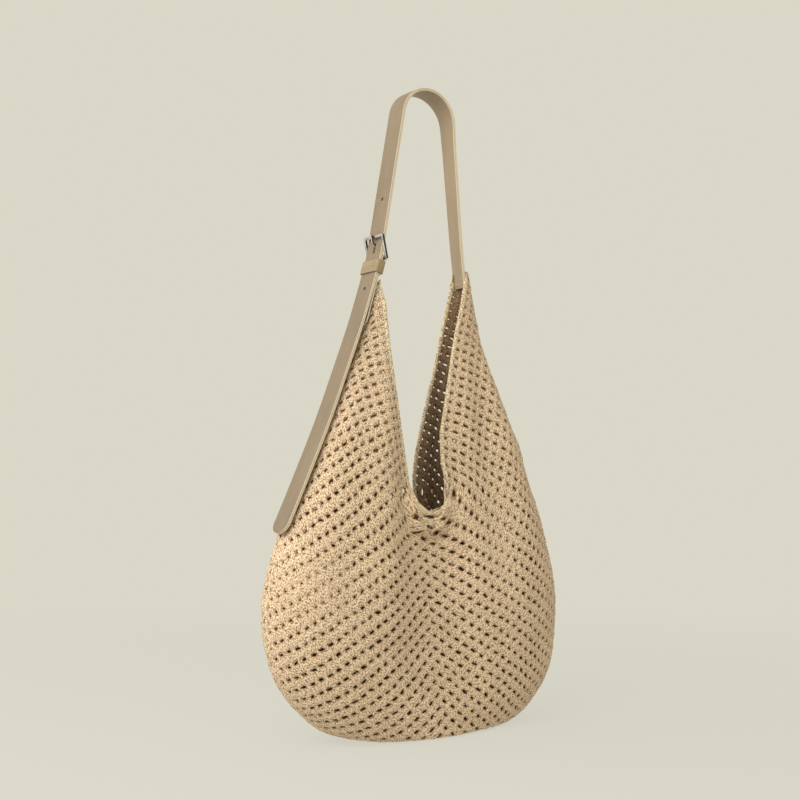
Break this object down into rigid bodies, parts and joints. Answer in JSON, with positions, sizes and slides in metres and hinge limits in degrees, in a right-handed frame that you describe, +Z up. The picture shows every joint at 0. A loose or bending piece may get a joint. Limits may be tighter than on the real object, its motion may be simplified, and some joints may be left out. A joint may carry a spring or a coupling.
{
  "type": "hobo bag",
  "caption": "Large open crochet-net hobo bag with a deep V mouth between two peaks, hung on a flat leather shoulder strap with a pin buckle, keeper loop and long hanging tail.",
  "frame": {"origin": "underside of the strap at the top of its arch, where a hook or shoulder carries the bag", "axes": "+Z up, X across the bag from peak to peak with the buckle at -X, -Y the front"},
  "size_m": [0.3926, 0.115, 0.713],
  "materials": {
    "net_yarn": "matt crocheted cotton yarn, beige",
    "rim_yarn": "matt cotton yarn, close single crochet",
    "strap_leather": "smooth beige leather, low sheen, pale sealed edge",
    "strap_lining": "smooth beige lining leather, low sheen",
    "keeper_leather": "smooth beige leather, low sheen",
    "buckle_metal": "polished nickel plate",
    "thread": "waxed beige thread"
  },
  "bodies": {
    "strap": {"strap_outer_layer": "strap_leather", "strap_lining": "strap_lining", "chape": "strap_leather", "chape_stitches": "thread", "strap_end_stitches": "thread"},
    "bag": {"net_front": "net_yarn", "net_back": "net_yarn", "rim_front": "rim_yarn", "rim_back": "rim_yarn", "side_seam_left": "rim_yarn", "side_seam_right": "rim_yarn", "base_seam": "rim_yarn"},
    "buckle": {"buckle_frame": "buckle_metal"},
    "prong": {"buckle_prong": "buckle_metal"},
    "keeper": {"keeper_loop": "keeper_leather", "keeper_stitches": "thread"},
    "tail": {"tail_outer_layer": "strap_leather", "tail_lining": "strap_lining"}
  },
  "joints": [
    {"name": "bag_swing", "type": "hinge", "parent": "strap", "child": "bag", "pos_m": [0, 0, -0.2036], "axis": [1, 0, 0], "range_deg": [-20, 20]},
    {"name": "buckle_tilt", "type": "hinge", "parent": "strap", "child": "buckle", "pos_m": [-0.05989, 0, -0.19738], "axis": [0, -1, 0], "range_deg": [0, 5]},
    {"name": "prong_lift", "type": "hinge", "parent": "buckle", "child": "prong", "pos_m": [-0.05989, 0, -0.19738], "axis": [0, -1, 0], "range_deg": [0, 5]},
    {"name": "keeper_slide", "type": "slide", "parent": "strap", "child": "keeper", "axis": [-0.2689, 0, -0.9632], "range_m": [0, 0.003]},
    {"name": "tail_lift", "type": "hinge", "parent": "strap", "child": "tail", "pos_m": [-0.0726, 0, -0.2234], "axis": [0, 1, 0], "range_deg": [0, 60]}
  ]
}
